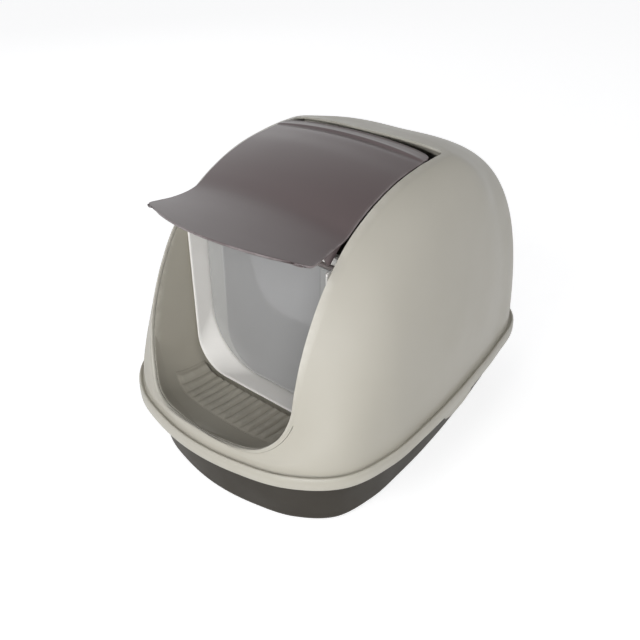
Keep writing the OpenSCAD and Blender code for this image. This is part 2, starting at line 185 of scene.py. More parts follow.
def volume_of(points: Array, quads: Array) -> float:
    """Signed volume of a closed skin: the sum over its triangles of a dot b cross c over six."""
    a, b, c, d = (points[quads[:, n]] for n in range(4))
    return float((np.einsum("ij,ij->i", a, np.cross(b, c))
                  + np.einsum("ij,ij->i", a, np.cross(c, d))).sum() / 6)


@dataclass
class Skin:
    """A closed surface made of one or more grids, in millimetres about the bend."""

    points: Array
    quads: Array
    marks: Array

    @staticmethod
    def of(grid: Array, wrap_rows: bool = False, wrap_columns: bool = False,
           marks: Array | None = None) -> "Skin":
        """Makes a skin from a grid of points.

        Args:
            grid: Array of rows by columns by xyz.
            wrap_rows: Whether the last row joins the first.
            wrap_columns: Whether the last column joins the first.
            marks: A number for each point, read by the finish.

        Returns:
            The skin.
        """
        rows, columns = grid.shape[:2]
        flat = np.zeros(rows * columns) if marks is None else np.broadcast_to(
            marks, (rows, columns)).reshape(-1)
        return Skin(grid.reshape(-1, 3), quads_of(rows, columns, wrap_rows, wrap_columns), flat)

    def plus(self, other: "Skin") -> "Skin":
        """Both skins as one, with the other's point numbers moved up."""
        return Skin(np.concatenate([self.points, other.points]),
                    np.concatenate([self.quads, other.quads + len(self.points)]),
                    np.concatenate([self.marks, other.marks]))

    def outward(self) -> "Skin":
        """The same skin with its faces turned outwards, told by the sign of its volume."""
        if volume_of(self.points, self.quads) >= 0:
            return self
        return Skin(self.points, self.quads[:, ::-1], self.marks)

    def build(self, name: str) -> bpy.types.Object:
        """Turns the skin into a smooth mesh object in metres, with doubles merged.

        Args:
            name: The piece's name.

        Returns:
            The object, linked to the scene.
        """
        mesh = bpy.data.meshes.new(name)
        placed = (self.points - np.array([0.0, ORIGIN_Y, 0.0])) * MM
        mesh.vertices.add(len(placed))
        mesh.vertices.foreach_set("co", placed.astype(np.float32).ravel())
        mesh.loops.add(self.quads.size)
        mesh.loops.foreach_set("vertex_index", self.quads.astype(np.int32).ravel())
        mesh.polygons.add(len(self.quads))
        mesh.polygons.foreach_set("loop_start", np.arange(0, self.quads.size, 4, dtype=np.int32))
        mesh.update(calc_edges=True)
        mark = mesh.attributes.new("mark", "FLOAT", "POINT")
        mark.data.foreach_set("value", self.marks.astype(np.float32))
        work = bmesh.new()
        work.from_mesh(mesh)
        bmesh.ops.remove_doubles(work, verts=work.verts, dist=2e-6)
        bmesh.ops.dissolve_degenerate(work, edges=work.edges, dist=1e-7)
        work.to_mesh(mesh)
        work.free()
        mesh.polygons.foreach_set("use_smooth", np.ones(len(mesh.polygons), dtype=bool))
        mesh.update()
        piece = bpy.data.objects.new(name, mesh)
        bpy.context.scene.collection.objects.link(piece)
        return piece


def two_sided(middle: Array, normal: Array, thickness: Array, marks: Array | None = None) -> Skin:
    """A sheet with thickness: the middle surface moved half the thickness each way.

    The edges close because the thickness falls to nothing there, as a half round does.

    Args:
        middle: Grid of points, rows by columns by xyz.
        normal: Unit normals of the grid.
        thickness: Thickness at each point.
        marks: A number for each point, read by the finish.

    Returns:
        The closed skin.
    """
    half = 0.5 * thickness[..., None] * normal
    front = Skin.of(middle + half, marks=marks)
    back = Skin.of(middle - half, marks=marks)
    back.quads = back.quads[:, ::-1]
    return front.plus(back).outward()


def grid_normals(grid: Array) -> Array:
    """Unit normals of a grid: the cross product of its two directions of change."""
    return unit(np.cross(np.gradient(grid, axis=0), np.gradient(grid, axis=1)))


# Finishes


def linear(rgb: tuple[float, float, float]) -> tuple[float, float, float, float]:
    """A screen colour from 0 to 255 as linear light, by the sRGB curve."""
    c = np.array(rgb, dtype=float) / 255
    lin = np.where(c <= 0.04045, c / 12.92, ((c + 0.055) / 1.055) ** 2.4)
    return (float(lin[0]), float(lin[1]), float(lin[2]), 1.0)


@dataclass
class Nodes:
    """Short-hand for building one material's node tree."""

    material: bpy.types.Material

    def add(self, kind: str, **values: object) -> bpy.types.Node:
        """Adds a node and sets its properties and its inputs by name.

        Args:
            kind: Blender's node type.
            values: Properties, or inputs with spaces written as underscores.

        Returns:
            The node.
        """
        node = self.material.node_tree.nodes.new(kind)
        for key, value in values.items():
            socket = node.inputs.get(key.replace("_", " "))
            if hasattr(node, key):
                setattr(node, key, value)
            elif socket is not None:
                socket.default_value = value
        return node

    def join(self, source: bpy.types.NodeSocket, target: bpy.types.NodeSocket) -> None:
        """Links two sockets."""
        self.material.node_tree.links.new(source, target)

    def noise(self, scale: float, detail: float, roughness: float = 0.5) -> bpy.types.NodeSocket:
        """A noise on Object coordinates.

        Args:
            scale: Repeats in each metre.
            detail: Number of octaves.
            roughness: Share of each finer octave.

        Returns:
            The Factor output.
        """
        place = self.add("ShaderNodeTexCoord")
        node = self.add("ShaderNodeTexNoise", Scale=scale, Detail=detail, Roughness=roughness)
        self.join(place.outputs["Object"], node.inputs["Vector"])
        return node.outputs["Fac"]

    def ramp(self, source: bpy.types.NodeSocket, low: float, high: float,
             out_low: float, out_high: float) -> bpy.types.NodeSocket:
        """Maps a range of a value to another range.

        Args:
            source: The value.
            low: Start of its range.
            high: End of its range.
            out_low: Result at the start.
            out_high: Result at the end.

        Returns:
            The Result output.
        """
        node = self.add("ShaderNodeMapRange", clamp=True)
        for key, value in (("From Min", low), ("From Max", high),
                           ("To Min", out_low), ("To Max", out_high)):
            node.inputs[key].default_value = value
        self.join(source, node.inputs["Value"])
        return node.outputs["Result"]

    def mix(self, factor: bpy.types.NodeSocket, a: object, b: object) -> bpy.types.NodeSocket:
        """Mixes two colours by a factor.

        Args:
            factor: The share of the second colour.
            a: First colour, or a socket.
            b: Second colour, or a socket.

        Returns:
            The colour output.
        """
        node = self.add("ShaderNodeMix", data_type="RGBA")
        self.join(factor, node.inputs[0])
        for value, socket in ((a, node.inputs[6]), (b, node.inputs[7])):
            if isinstance(value, bpy.types.NodeSocket):
                self.join(value, socket)
            else:
                socket.default_value = value
        return node.outputs[2]

    def bump(self, height: bpy.types.NodeSocket, strength: float, distance: float,
             after: bpy.types.NodeSocket | None = None) -> bpy.types.NodeSocket:
        """A bump from a height.

        Args:
            height: The height.
            strength: Share of the full effect.
            distance: Height in metres of a value of one.
            after: Another bump's normal to add to.

        Returns:
            The Normal output.
        """
        node = self.add("ShaderNodeBump", Strength=strength, Distance=distance)
        self.join(height, node.inputs["Height"])
        if after is not None:
            self.join(after, node.inputs["Normal"])
        return node.outputs["Normal"]


def fresh_material(name: str) -> tuple[Nodes, bpy.types.Node]:
    """A new material with its Principled shader.

    Args:
        name: The material's name.

    Returns:
        The node helper and the shader node.
    """
    material = bpy.data.materials.new(name)
    material.use_nodes = True
    return Nodes(material), material.node_tree.nodes["Principled BSDF"]


@dataclass(frozen=True)
class MouldedPlastic:
    """Injection-moulded plastic: faint flow mottling, fine grain, and a paler colour on marked
    edges that is a painted highlight.
    """

    name: str
    slot: str
    colour: tuple[float, float, float]
    tone: tuple[float, float, float]
    # edge: the paler colour of the painted highlight on marked rounded edges
    edge: tuple[float, float, float]
    roughness: float = 0.45
    spread: float = 0.06
    grain: float = 900.0
    relief: float = 0.00006
    specular: float = 0.45

    def material(self) -> bpy.types.Material:
        """Builds the material.

        Returns:
            The material.
        """
        nodes, shader = fresh_material(self.name)
        cloud = nodes.ramp(nodes.noise(5.5, 3.0), 0.35, 0.65, 0.0, 1.0)
        base = nodes.mix(cloud, linear(self.colour), linear(self.tone))
        # The mark, broken up by noise, mixes in the edge colour: a painted highlight on rounded
        # edges.
        edge_highlight = nodes.add("ShaderNodeAttribute", attribute_name="mark")
        patchy = nodes.ramp(nodes.noise(60.0, 4.0, 0.6), 0.42, 0.62, 0.25, 1.0)
        painted_highlight = nodes.add("ShaderNodeMath", operation="MULTIPLY")
        nodes.join(edge_highlight.outputs["Fac"], painted_highlight.inputs[0])
        nodes.join(patchy, painted_highlight.inputs[1])
        nodes.join(nodes.mix(painted_highlight.outputs[0], base, linear(self.edge)), shader.inputs["Base Color"])
        smudge = nodes.ramp(nodes.noise(14.0, 5.0, 0.6), 0.3, 0.7,
                            self.roughness - self.spread, self.roughness + self.spread)
        nodes.join(smudge, shader.inputs["Roughness"])
        swell = nodes.bump(nodes.noise(22.0, 2.0), 0.3, 0.00025)
        nodes.join(nodes.bump(nodes.noise(self.grain, 3.0), 0.6, self.relief, swell),
                   shader.inputs["Normal"])
        shader.inputs["Specular IOR Level"].default_value = self.specular
        return nodes.material


@dataclass(frozen=True)
class ClearPlastic:
    """Smoky see-through sheet with a thicker, paler border and hairline scuffs."""

    name: str
    slot: str
    colour: tuple[float, float, float]
    border: tuple[float, float, float]
    alpha: float

    def material(self) -> bpy.types.Material:
        """Builds the material.

        Returns:
            The material.
        """
        nodes, shader = fresh_material(self.name)
        mark = nodes.add("ShaderNodeAttribute", attribute_name="mark")
        haze = nodes.ramp(nodes.noise(6.0, 2.0), 0.35, 0.65, 0.0, 0.08)
        base = nodes.mix(haze, linear(self.colour), linear(self.border))
        nodes.join(nodes.mix(mark.outputs["Fac"], base, linear(self.border)),
                   shader.inputs["Base Color"])
        nodes.join(nodes.ramp(nodes.noise(18.0, 3.0), 0.3, 0.7, 0.05, 0.09),
                   shader.inputs["Roughness"])
        nodes.join(nodes.bump(nodes.noise(7.0, 2.0), 0.3, 0.0002), shader.inputs["Normal"])
        shader.inputs["Alpha"].default_value = self.alpha
        return nodes.material


@dataclass(frozen=True)
class DrawnWire:
    """Plain drawn steel wire with fine draw marks along its length."""

    name: str
    slot: str
    colour: tuple[float, float, float]

    def material(self) -> bpy.types.Material:
        """Builds the material.

        Returns:
            The material.
        """
        nodes, shader = fresh_material(self.name)
        tint = nodes.ramp(nodes.noise(120.0, 4.0), 0.3, 0.7, 0.0, 1.0)
        nodes.join(nodes.mix(tint, linear(self.colour), linear((150, 148, 144))),
                   shader.inputs["Base Color"])
        nodes.join(nodes.ramp(nodes.noise(500.0, 3.0), 0.3, 0.7, 0.25, 0.42),
                   shader.inputs["Roughness"])
        nodes.join(nodes.bump(nodes.noise(1500.0, 2.0), 0.4, 0.00003), shader.inputs["Normal"])
        shader.inputs["Metallic"].default_value = 1.0
        return nodes.material


# The third colour of each moulded finish is its painted edge highlight.
HOOD = MouldedPlastic("hood_beige", "hood_plastic", (182, 178, 167), (178, 174, 162),
                      (192, 189, 179), roughness=0.42)
# The porch beige is the hood beige darkened: painted shade inside the porch, on the liner and the
# tread.
SHADED_PORCH = MouldedPlastic("porch_beige_shaded", "porch_plastic", (160, 156, 144), (155, 150, 138),
                       (182, 178, 167), roughness=0.6)
TRAY = MouldedPlastic("tray_brown", "tray_plastic", (55, 51, 44), (51, 47, 41),
                      (74, 70, 64), roughness=0.55, specular=0.2)
VISOR = MouldedPlastic("visor_mauve", "visor_plastic", (98, 87, 87), (95, 84, 84),
                       (138, 130, 130), roughness=0.34, spread=0.02, specular=0.5)
# Dark brown for the grip well paints the shade inside that recess.
WELL_SHADE = MouldedPlastic("grip_well_shade_brown", "dark_plastic", (62, 52, 47), (56, 47, 43),
                      (80, 70, 64), roughness=0.55, specular=0.3)
WHITE = MouldedPlastic("door_white", "white_plastic", (226, 224, 220), (222, 220, 216),
                       (238, 236, 232), roughness=0.38)
PIN = MouldedPlastic("pin_grey", "pin_plastic", (118, 110, 108), (110, 102, 100),
                     (140, 132, 130), roughness=0.4)
CLEAR = ClearPlastic("flap_clear", "clear_plastic", (158, 158, 158), (172, 172, 170), 0.86)
STEEL = DrawnWire("pin_wire", "pin_steel", (176, 175, 172))


# Shared forms


@dataclass(frozen=True)
class Plan:
    """Outline of the flange seen from above: a radius for every 15 degrees from the front."""

    radii: tuple[float, ...] = (247, 248.5, 254, 250.5, 226, 204, 195, 197.5, 213, 247,
                                301, 319, 319)

    def rim(self, bearing: Array) -> Array:
        """Points of the outline: radius times sine, and minus radius times cosine.

        Args:
            bearing: Degrees from the front, positive to the right.

        Returns:
            xy along the last axis.
        """
        size = np.abs(bearing)
        radius = spline(np.array(self.radii)[:, None], size / 15, Ends.EVEN)[..., 0]
        angle = np.radians(size)
        return np.stack([np.sign(bearing) * radius * np.sin(angle), -radius * np.cos(angle)], -1)

    def inset(self, bearing: Array, distance: Array) -> Array:
        """The outline moved inwards along its own normal.

        Args:
            bearing: Degrees from the front.
            distance: Millimetres inwards, broadcast against the bearing.

        Returns:
            xy along the last axis.
        """
        along = self.rim(bearing + 0.5) - self.rim(bearing - 0.5)
        normal = unit(np.stack([along[..., 1], -along[..., 0]], -1))
        return self.rim(bearing) - normal * np.asarray(distance)[..., None]

    def strip(self, bearing: Array, profile: Array) -> Array:
        """A profile of insets and heights carried round the outline.

        Args:
            bearing: Degrees from the front, one for each section.
            profile: Inset and height, one row for each point.

        Returns:
            Array of section by point by xyz.
        """
        xy = self.inset(bearing[:, None], profile[None, :, 0])
        z = np.broadcast_to(profile[None, :, 1, None], xy.shape[:2] + (1,))
        return np.concatenate([xy, z], -1)


@dataclass(frozen=True)
class Dome:
    """The hood's wall: a Bezier rise from the flange to the edge of the opening."""

    plan: Plan
    edge_points: tuple[tuple[float, float, float], ...] = (
        (0, -236, 110), (33, -235.5, 110), (62, -231.5, 110.6), (88, -223, 117),
        (107, -211, 135), (116.6, -202, 163), (118, -196, 195), (118, -186, 228),
        (118, -170, 264), (118, -147, 301), (117.6, -113, 337), (116.8, -72, 361.5),
        (115.6, -26, 377.6), (114, 22, 385), (113.2, 57, 387), (109.5, 78, 387.2),
        (82, 81, 389.8), (42, 80.5, 391.7), (0, 80, 392))
    bearings: tuple[float, ...] = (0, 9, 18, 27, 35, 42, 47, 51, 55, 60, 68, 78, 90, 104,
                                   117, 128, 140, 159, 180)
    slopes: tuple[float, ...] = (2.2, 1.7, 0.95, 0.5, 0.2, 0.12, 0.15)
    reaches: tuple[float, ...] = (0.3, 0.35, 0.55, 0.65, 0.72, 0.7, 0.66)
    foot_z: float = 97.6
    step: float = 7.6
    bevel_drop: float = 1.4
    bevel_s: float = 0.93
    stiffness: float = 0.67

    @property
    def last(self) -> int:
        """Number of the opening point in the middle of the roof."""
        return len(self.edge_points) - 1

    def edge(self, k: Array) -> Array:
        """Points on the opening's edge, mirrored for a negative k."""
        point = spline(np.array(self.edge_points, dtype=float), np.abs(k), Ends.MIRROR_X)
        return point * np.stack([np.where(k < 0, -1.0, 1.0), np.ones_like(k), np.ones_like(k)], -1)

    def bearing(self, k: Array) -> Array:
        """Bearing on the outline that each place on the opening is joined to."""
        size = spline(np.array(self.bearings, dtype=float)[:, None], np.abs(k), Ends.ODD)
        return np.where(k < 0, -1.0, 1.0) * size[..., 0]

    def _by_bearing(self, table: tuple[float, ...], k: Array) -> Array:
        """A table with a row for every 30 degrees, read at each place."""
        turn = np.abs(self.bearing(k)) / 30
        return spline(np.array(table)[:, None], turn, Ends.EVEN)[..., 0]

    def foot(self, k: Array, depth: float) -> Array:
        """Where the wall leaves the flange, a depth inside its outer face."""
        xy = self.plan.inset(self.bearing(k), np.full_like(k, self.step + depth))
        return np.concatenate([xy, np.full_like(k, self.foot_z)[..., None]], -1)

    def outward(self, k: Array) -> Array:
        """Level direction from the opening's edge to the wall's foot."""
        d = self.foot(k, 0.0) - self.edge(k)
        d[..., 2] = 0.0
        return unit(d)

    def roof_way(self, k: Array) -> Array:
        """Direction in which the roof leaves the edge: outwards, falling by its slope."""
        way = self.outward(k)
        way[..., 2] = -self._by_bearing(self.slopes, k)
        return way

    def normal(self, k: Array) -> Array:
        """Roof normal at the edge: the roof direction crossed with the edge direction."""
        step = 0.02
        along = unit(self.edge(k + step) - self.edge(k - step))
        middle = np.abs(k) < 0.01
        rear = np.abs(k) > self.last - 0.01
        along = np.where(middle[..., None], np.array([1.0, 0, 0]), along)
        along = np.where(rear[..., None], np.array([-1.0, 0, 0]), along)
        return unit(np.cross(self.roof_way(k), along))

    def edge_low(self, k: Array, depth: float) -> Array:
        """The edge moved down its cut face, which keeps its x.

        Args:
            k: Places on the opening.
            depth: Depth below the bevelled edge, at right angles to the roof.

        Returns:
            Points.
        """
        n = self.normal(k)
        cut = n.copy()
        cut[..., 0] = 0.0
        cut = unit(cut)
        reach = (self.bevel_drop + depth) / np.sum(n * cut, -1, keepdims=True)
        return self.edge(k) - cut * reach

    def wall(self, k: Array, depth: float, s: Array) -> Array:
        """Points of the wall: a cubic Bezier from the foot to the edge.

        Args:
            k: Places on the opening.
            depth: Depth inside the outer face.
            s: Places along each section, 0 at the foot and 1 at the edge.

        Returns:
            Array of section by point by xyz.
        """
        f = self.foot(k, depth)
        e = self.edge(k) - self.normal(k) * depth
        rise = (e - f)[..., 2:3]
        level = np.linalg.norm((e - f)[..., :2], axis=-1, keepdims=True)
        reach = self._by_bearing(self.reaches, k)[..., None]
        b = f - self.outward(k) * 0.03 * level
        b[..., 2:3] += self.stiffness * rise
        c = e + self.roof_way(k) * level * reach
        t = s[None, :, None]
        f, b, c, e = (v[:, None] for v in (f, b, c, e))
        return (1 - t) ** 3 * f + 3 * (1 - t) ** 2 * t * b + 3 * (1 - t) * t * t * c + t ** 3 * e


PLAN = Plan()
DOME = Dome(PLAN)


@dataclass(frozen=True)
class Made:
    """A finished piece and what the frame needs to know about it."""

    piece: bpy.types.Object
    body: str
    nodes: tuple[str, ...]
    finish: MouldedPlastic | ClearPlastic | DrawnWire


# Sub-assemblies


@dataclass(frozen=True)
class Hood:
    """The domed hood with its flange, and the roll that the hand holds."""

    sections: int = 468
    wall_points: int = 52
    thickness: float = 3.0
    edge_radius: float = 1.1
    crease_radius: float = 1.6
    under_radius: float = 0.25
    rim_highlight: float = 0.35
    bar_radius: float = 4.4
    bar_span: float = 2.75
    bar_half: float = 103.0
    bar_gap: float = 0.2
    bar_share: float = 0.8
    flange: tuple[tuple[float, float], ...] = (
        (2.2, 80.0), (1.0, 80.15), (0.35, 80.7), (0.0, 81.8), (0.0, 84.0), (0.0, 88.0),
        (0.1, 91.0), (0.4, 93.4), (1.0, 95.4), (1.8, 96.5), (2.7, 96.9), (3.6, 96.6),
        (4.4, 95.9), (5.1, 95.2), (5.7, 94.9), (6.3, 95.0), (6.9, 95.5), (7.3, 96.3),
        (7.52, 97.1))
    seat: tuple[tuple[float, float], ...] = (
        (10.6, 99.6), (11.2, 98.4), (12.4, 97.9), (15.4, 97.6), (16.0, 97.2), (16.0, 94.4),
        (15.6, 94.0), (3.6, 94.0), (3.0, 93.4), (3.0, 80.5), (2.8, 80.1))

    def shell(self) -> Skin:
        """One closed loop of section for each place round the opening.

        The section runs up the flange, up the wall to the bevel, over the rounded edge,
        down the inside and round the seat ring.

        Returns:
            The skin.
        """
        last = DOME.last
        k = (np.arange(self.sections) / self.sections * 2 - 1) * last
        bearing = DOME.bearing(k)
        s = np.concatenate([np.linspace(0.008, 0.08, 6),
                            np.linspace(0.1, DOME.bevel_s, self.wall_points)])
        outer = DOME.wall(k, 0.0, s)
        inner = DOME.wall(k, self.thickness, s[::-1])
        top, low = DOME.edge_low(k, 0.0), DOME.edge_low(k, self.thickness)
        crease = fillet(outer[:, -2], outer[:, -1], top, self.crease_radius, 4)
        rim = fillet(outer[:, -1], top, low, self.edge_radius, 7)
        under = fillet(top, low, inner[:, 0], self.under_radius, 4)
        parts = [PLAN.strip(bearing, np.array(self.flange)), outer[:, :-1], crease, rim, under,
                 inner, PLAN.strip(bearing, np.array(self.seat))]
        # The rounded opening edge, and more faintly the flange's lower lip, are marked for a
        # painted highlight.
        painted_highlight = [0.0, 0.0, 0.0, 1.0, 0.0, 0.0, 0.0]
        marks = np.concatenate([np.full(p.shape[1], w) for p, w in zip(parts, painted_highlight)])
        marks[1:6] = self.rim_highlight
        return Skin.of(np.concatenate(parts, 1), True, True, marks[None, :]).outward()

    def grip(self) -> Skin:
        """A round roll carried along the underside of the roof's front edge.

        Its middle line is a weighted mean of the wall's line and the cut face's line.

        Returns:
            The skin, with each end drawn in to a point as a half ball.
        """
        t = spread_to_ends(72, 0.03, 8) * 2 - 1
        k = np.where(t < 0, -1.0, 1.0) * (DOME.last - self.bar_span * np.abs(t))
        depth = self.thickness + self.bar_radius + self.bar_gap
        middle = (self.bar_share * DOME.wall(k, depth, np.array([DOME.bevel_s]))[:, 0]
                  + (1 - self.bar_share) * DOME.edge_low(k, depth))
        radius = self.bar_radius * half_round((1 - np.abs(t)) * self.bar_half, self.bar_radius)
        turn = np.linspace(0, 2 * math.pi, 29)[:-1]
        ring = np.stack([np.zeros_like(turn), np.sin(turn), np.cos(turn)], -1)
        return Skin.of(middle[:, None] + radius[:, None, None] * ring[None], False, True).outward()

    def build(self) -> list[Made]:
        """Builds the hood's own pieces."""
        return [Made(self.shell().build("hood_shell_moulded"), "hood", ("hood_shell",), HOOD),
                Made(self.grip().build("grip_roll"), "hood", ("grip_bar",), HOOD)]


@dataclass(frozen=True)
class Tray:
    """The dark pan with its rounded base edge and rolled rim."""

    bearings: int = 360
    base_in: float = 32.0
    base_round: float = 11.0
    wall_in: float = 14.0
    bead_in: float = 10.8
    bead_top: float = 93.7
    wall: float = 2.6

    def profile(self) -> Array:
        """Inset and height from the base's outer part, up the outside and down the inside.

        The base edge is a quarter ellipse, inset by one minus the sine of the turn and
        raised by one minus its cosine.

        Returns:
            Rows of inset and height.
        """
        h = self.bead_top - 7
        lean = (self.base_in - self.wall_in) / h
        foot = self.base_in - self.base_round * lean
        t = np.linspace(0, math.pi / 2, 10)
        out = np.stack([foot + (self.base_in + self.base_round - foot) * (1 - np.sin(t)),
                        self.base_round * (1 - np.cos(t))], -1)
        up = np.linspace(0.08, 0.97, 12)[:, None]
        side = (1 - up) * np.array([foot, self.base_round]) + up * np.array([self.wall_in, h])
        bead = np.array([(self.wall_in - 0.4, h - 0.5), (self.wall_in - 1.4, h + 0.1),
                         (self.bead_in + 0.8, h + 0.6), (self.bead_in + 0.2, h + 1.0),
                         (self.bead_in, h + 2.0), (self.bead_in, self.bead_top - 1.6),
                         (self.bead_in + 0.3, self.bead_top - 0.5),
                         (self.bead_in + 1.1, self.bead_top), (16.0, self.bead_top),
                         (16.6, self.bead_top - 0.5), (16.9, self.bead_top - 1.6)])
        inside = side[::-1] + np.array([self.wall + 0.4, 0.0])
        floor = out[::-1] + np.array([self.wall, self.wall])
        return np.concatenate([out, side, bead, inside, floor[1:]])

    def skin(self) -> Skin:
        """Rings of the profile round the plan, closed over the middle by shrinking rings.

        Returns:
            The skin.
        """
        a = -180 + 360 * (np.arange(self.bearings) + 0.5) / self.bearings
        profile = self.profile()
        rings = PLAN.strip(a, profile).transpose(1, 0, 2)
        centre = np.array([0.0, ORIGIN_Y, 0.0])
        share = np.array([0.0, 0.15, 0.35, 0.6, 0.85])[:, None, None]
        base = centre + (rings[0] - centre)[None] * share
        top_centre = centre + np.array([0.0, 0.0, profile[-1, 1]])
        floor = top_centre + (rings[-1] - top_centre)[None] * share[::-1]
        grid = np.concatenate([base, rings, floor])
        marks = np.zeros(len(grid))
        # The rounded base edge is marked for the paler edge colour, a painted highlight.
        marks[len(base) + 2:len(base) + 9] = 0.25
        return Skin.of(grid, False, True, marks[:, None]).outward()

    def build(self) -> list[Made]:
        """Builds the tray."""
        return [Made(self.skin().build("tray_moulded"), "base", ("tray",), TRAY)]


@dataclass(frozen=True)
class Porch:
    """The liner between the opening and the door, and the ribbed tread on its floor."""

    reach: float = 9.6
    wall: float = 2.4
    door_y: float = -124.0
    floor_z: float = 91.0
    back_half: float = 113.2
    back_radius: float = 42.0
    flat_k: float = 2.2
    turned_k: float = 5.2
    gap: float = 0.06
    length: float = 110.0
    edge_radius: float = 0.4
    lip_highlight: float = 0.9
    rib_highlight: float = 0.35
    ribs: int = 16
    pitch: float = 12.8
    rib_height: float = 2.6
    rib_middle: float = 0.58
    rib_width: float = 0.86
    rib_power: float = 0.55
    side_run: float = 5.0
    tread_gap: float = 0.16
    tread_sink: float = 0.12
    plate: float = 1.4
    tread_from: float = 0.34
    tread_to: float = 0.92

    def lip(self, k: Array, depth: float) -> Array:
        """Front edge of the liner, just under the hood's cut face."""
        return DOME.edge_low(k, 3.0 + self.gap + depth)

    def back(self, k: Array, depth: float) -> Array:
        """Back edge of the liner: flat floor, quarter-round corner, upright side.

        Args:
            k: Places on the opening, up to the liner's reach.
            depth: Depth behind the inner face.

        Returns:
            Points.
        """
        size, way = np.abs(k), np.where(k < 0, -1.0, 1.0)
        half, radius, z0 = self.back_half + depth, self.back_radius + depth, self.floor_z - depth
        flat, turned = self.flat_k, self.turned_k
        angle = np.radians(np.clip(90 * (size - flat) / (turned - flat), 0, 90))
        top = self.lip(np.array([self.reach]), 0.0)[0, 2] - 4
        climb = np.clip((size - turned) / (self.reach - turned), 0, 1)
        x = np.where(size < flat, (half - radius) * size / flat,
                     half - radius + radius * np.sin(angle))
        z = z0 + radius - radius * np.cos(angle) + (top - z0 - radius) * climb
        return np.stack([way * x, np.full_like(k, self.door_y - self.gap), z], -1)

    def surface(self, k: Array, depth: Array, q: Array) -> Array:
        """Liner surface: x by the 1.5 power, y straight and z by the cube of what is left.

        Args:
            k: Places on the opening, rows by columns.
            depth: Depth behind the inner face, a single number or rows by columns.
            q: 0 at the lip and 1 at the door, rows by columns.

        Returns:
            Points, rows by columns by xyz.
        """
        k, q, depth = np.broadcast_arrays(k, q, depth)
        base_a, base_b = self.lip(k, 0.0), self.back(k, 0.0)
        deep_a, deep_b = self.lip(k, 1.0) - base_a, self.back(k, 1.0) - base_b
        a = base_a + deep_a * depth[..., None]
        b = base_b + deep_b * depth[..., None]
        x = b[..., 0] + (a[..., 0] - b[..., 0]) * (1 - q) ** 1.5
        y = a[..., 1] + (b[..., 1] - a[..., 1]) * q
        z = b[..., 2] + (a[..., 2] - b[..., 2]) * (1 - q) ** 3
        return np.stack([x, y, z], -1)

    def liner(self) -> Skin:
        """Inner and outer faces of the liner, with rounded front and back edges.

        Returns:
            The skin.
        """
        k = np.linspace(-self.reach, self.reach, 241)[:, None]
        q = spread_to_ends(34, 0.012, 3)[None, :]
        turn = half_round(np.minimum(q, 1 - q) * self.length, self.edge_radius)
        middle = self.surface(k, self.wall / 2, q)
        inner = self.surface(k, self.wall / 2 * (1 - turn), q)
        outer = self.surface(k, self.wall / 2 * (1 + turn), q)
        loop = np.concatenate([inner, outer[:, ::-1]], 1)
        # The front of the liner fades to the paler edge colour: a painted highlight on the rolled
        # lip.
        pale = np.broadcast_to((1 - ease(q / 0.16)) * self.lip_highlight, inner.shape[:2])
        marks = np.concatenate([pale, 0 * pale], 1)
        ends = [np.concatenate([middle[n], middle[n, ::-1]]) for n in (0, -1)]
        return Skin.of(np.concatenate([ends[0][None], loop, ends[1][None]]), False, True,
                       np.concatenate([marks[:1], marks, marks[-1:]])).outward()

    def floor_k(self, x: Array) -> Array:
        """Place on the opening whose back edge has this x."""
        size, way = np.abs(x), np.where(x < 0, -1.0, 1.0)
        corner = self.back_half - self.back_radius
        bend = np.degrees(np.arcsin(np.clip((size - corner) / self.back_radius, 0, 0.999)))
        degrees_each = 90 / (self.turned_k - self.flat_k)
        return way * np.where(size < corner, size * self.flat_k / corner,
                              self.flat_k + bend / degrees_each)

    def tread(self) -> Skin:
        """Ribs on the porch floor: a raised cosine across each rib, tapered at both ends.

        Returns:
            The skin.
        """
        half = self.ribs * self.pitch / 2
        x = np.linspace(-half, half, self.ribs * 16 + 1)[:, None]
        q = self.tread_from + (self.tread_to - self.tread_from) * spread_to_ends(40, 0.04, 4)
        q = q[None, :]
        phase = np.mod((x + half) / self.pitch, 1.0) - self.rib_middle
        across = np.clip(np.cos(phase * math.pi / self.rib_width), 0, 1) ** self.rib_power
        lead = ease((q - self.tread_from - 0.012) / 0.11) * ease((self.tread_to - q - 0.004) / 0.02)
        side = ease((half - np.abs(x)) / self.side_run)
        skirt = side * ease((q - self.tread_from) / 0.05) * ease((self.tread_to - q) / 0.01)
        plate = self.gap + self.tread_gap + (self.plate - 0.3) * skirt
        top = plate + self.rib_height * across * lead * side
        k = self.floor_k(x)
        upper = self.surface(k, -top, q)
        lower = self.surface(k, -self.gap - self.tread_sink, q)
        # The rib crests are marked for the paler edge colour: a painted highlight along each rib.
        marks = across * lead * self.rib_highlight
        sheet = Skin.of(upper, marks=np.broadcast_to(marks, upper.shape[:2]))
        under = Skin.of(lower)
        under.quads = under.quads[:, ::-1]
        return close_rims(sheet, under, upper.shape[:2]).outward()

    def build(self) -> list[Made]:
        """Builds the liner and the tread."""
        # Liner and tread take the darkened porch beige, which is painted shade.
        return [Made(self.liner().build("porch_liner_moulded"), "hood", ("porch_liner",), SHADED_PORCH),
                Made(self.tread().build("step_tread_ribs"), "hood", ("step_tread",), SHADED_PORCH)]


def close_rims(top: Skin, bottom: Skin, shape: tuple[int, int]) -> Skin:
    """Joins two grids of the same shape along their four borders.

    Args:
        top: Upper grid.
        bottom: Lower grid, with its faces turned the other way.
        shape: Rows and columns of both.

    Returns:
        The closed skin.
    """
    both = top.plus(bottom)
    number = np.arange(shape[0] * shape[1]).reshape(shape)
    loop = np.concatenate([number[:, 0], number[-1, 1:], number[-2::-1, -1], number[0, -2:0:-1]])
    nxt = np.roll(loop, -1)
    shift = shape[0] * shape[1]
    wall = np.stack([nxt, loop, loop + shift, nxt + shift], -1)
    return Skin(both.points, np.concatenate([both.quads, wall]), both.marks)


